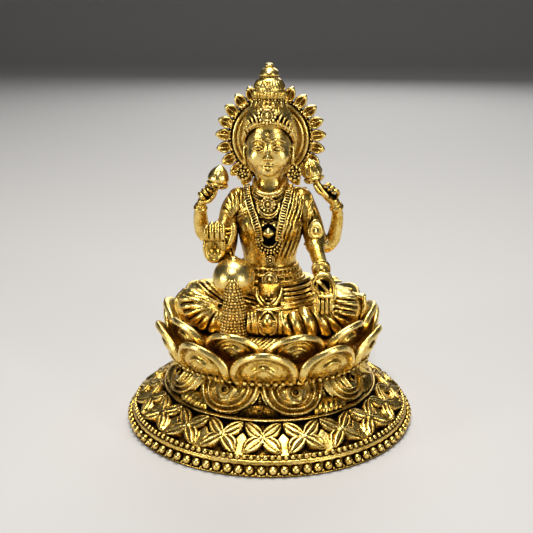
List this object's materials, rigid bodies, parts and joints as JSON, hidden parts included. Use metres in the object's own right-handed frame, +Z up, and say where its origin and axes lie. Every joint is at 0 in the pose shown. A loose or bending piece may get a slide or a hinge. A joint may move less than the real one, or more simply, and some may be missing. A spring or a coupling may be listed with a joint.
{
  "type": "lakshmi figure",
  "caption": "Small cast-metal four-armed seated deity on a lotus and a round beaded foot, with halo, lotus buds and coin pot.",
  "frame": {"origin": "centre of the flat underside of the foot", "axes": "+Z up, the figure faces -Y, its left hand side is +X"},
  "size_m": [0.0596, 0.0596, 0.0726],
  "materials": {
    "antique_gold": "polished gold-coloured cast metal with dark brown patina left in the recesses"
  },
  "bodies": {
    "root": {"lakshmi_on_lotus": "antique_gold"}
  },
  "joints": []
}
